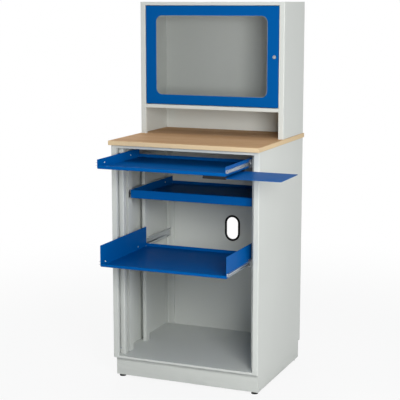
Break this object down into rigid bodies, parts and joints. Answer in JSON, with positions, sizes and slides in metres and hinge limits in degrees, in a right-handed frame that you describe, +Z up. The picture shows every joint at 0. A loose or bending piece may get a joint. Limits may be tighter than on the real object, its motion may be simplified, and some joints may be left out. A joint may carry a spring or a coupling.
{
  "type": "computer cabinet",
  "caption": "Steel computer cabinet with a windowed monitor housing on a beech worktop, and a keyboard tray, side mouse plate, shallow drawer and printer shelf that pull out of an open body.",
  "frame": {"origin": "on the floor, under the middle of the body's plan and of the four feet", "axes": "+X to the user's right, +Y to the back, +Z up; the open front faces -Y"},
  "size_m": [0.883, 0.846, 1.7],
  "materials": {
    "grey_coat": "light grey powder coat, fine texture, satin",
    "blue_coat": "gentian blue powder coat, satin",
    "zinc_plate": "bright zinc plate",
    "pin_steel": "bright zinc plate, turned",
    "beech": "beech multiplex, clear satin lacquer",
    "black_rubber": "black edge trim, matt",
    "black_plastic": "black polyamide, matt",
    "clear_pane": "clear acrylic sheet",
    "bright_lock": "bright nickel plate"
  },
  "bodies": {
    "cabinet": {"plinth_front": "grey_coat", "plinth_rear": "grey_coat", "plinth_left": "grey_coat", "plinth_right": "grey_coat", "body_side_left": "grey_coat", "body_side_right": "grey_coat", "body_floor": "grey_coat", "body_back": "grey_coat", "top_rail_front": "grey_coat", "top_rail_rear": "grey_coat", "front_post_left": "grey_coat", "front_post_right": "grey_coat", "runner_post_front_left": "grey_coat", "runner_post_front_right": "grey_coat", "runner_post_rear_left": "grey_coat", "runner_post_rear_right": "grey_coat", "housing_side_left": "grey_coat", "housing_side_right": "grey_coat", "housing_top": "grey_coat", "housing_back": "grey_coat", "housing_shelf": "grey_coat", "worktop": "beech", "cable_slot_trim": "black_rubber", "levelling_feet": "black_plastic", "hinge_pins": "pin_steel", "keyboard_runner_outer_left": "zinc_plate", "keyboard_runner_outer_right": "zinc_plate", "drawer_runner_outer_left": "zinc_plate", "drawer_runner_outer_right": "zinc_plate", "printer_runner_outer_left": "zinc_plate", "printer_runner_outer_right": "zinc_plate"},
    "monitor_door": {"door_frame": "blue_coat", "window_pane": "clear_pane", "pane_retainers": "zinc_plate", "hinge_bushes": "black_plastic", "lock_body": "bright_lock"},
    "door_lock": {"lock_core": "bright_lock", "lock_cam": "zinc_plate"},
    "keyboard_tray": {"keyboard_tray": "blue_coat", "mouse_guides": "black_plastic", "keyboard_runner_inner_left": "zinc_plate", "keyboard_runner_inner_right": "zinc_plate"},
    "keyboard_runner_middles": {"keyboard_runner_middle_left": "zinc_plate", "keyboard_runner_middle_right": "zinc_plate"},
    "mouse_plate": {"mouse_plate": "blue_coat"},
    "drawer": {"drawer": "blue_coat", "drawer_runner_inner_left": "zinc_plate", "drawer_runner_inner_right": "zinc_plate"},
    "drawer_runner_middles": {"drawer_runner_middle_left": "zinc_plate", "drawer_runner_middle_right": "zinc_plate"},
    "printer_shelf": {"printer_shelf": "blue_coat", "printer_runner_inner_left": "zinc_plate", "printer_runner_inner_right": "zinc_plate"},
    "printer_runner_middles": {"printer_runner_middle_left": "zinc_plate", "printer_runner_middle_right": "zinc_plate"}
  },
  "joints": [
    {"name": "monitor_door_hinge", "type": "hinge", "parent": "cabinet", "child": "monitor_door", "pos_m": [-0.3125, 0.0205, 1.2345], "axis": [0, 0, -1], "range_deg": [0, 110]},
    {"name": "lock_turn", "type": "hinge", "parent": "monitor_door", "child": "door_lock", "pos_m": [0.303, 0.013, 1.4585], "axis": [0, -1, 0], "range_deg": [0, 90]},
    {"name": "keyboard_slide", "type": "slide", "parent": "cabinet", "child": "keyboard_tray", "axis": [0, -1, 0], "range_m": [-0.015, 0.08]},
    {"name": "keyboard_runner_slide", "type": "slide", "parent": "cabinet", "child": "keyboard_runner_middles", "axis": [0, -1, 0], "range_m": [-0.0027, 0.0144]},
    {"name": "mouse_plate_slide", "type": "slide", "parent": "keyboard_tray", "child": "mouse_plate", "axis": [1, 0, 0], "range_m": [-0.236, 0]},
    {"name": "drawer_slide", "type": "slide", "parent": "cabinet", "child": "drawer", "axis": [0, -1, 0], "range_m": [0, 0.4]},
    {"name": "drawer_runner_slide", "type": "slide", "parent": "cabinet", "child": "drawer_runner_middles", "axis": [0, -1, 0], "range_m": [0, 0.072]},
    {"name": "printer_shelf_slide", "type": "slide", "parent": "cabinet", "child": "printer_shelf", "axis": [0, -1, 0], "range_m": [-0.304, 0.1]},
    {"name": "printer_runner_slide", "type": "slide", "parent": "cabinet", "child": "printer_runner_middles", "axis": [0, -1, 0], "range_m": [-0.05472, 0.018]}
  ],
  "couplings": [
    {"joint": "keyboard_runner_slide", "follows": "keyboard_slide", "ratio": 0.18},
    {"joint": "drawer_runner_slide", "follows": "drawer_slide", "ratio": 0.18},
    {"joint": "printer_runner_slide", "follows": "printer_shelf_slide", "ratio": 0.18}
  ]
}
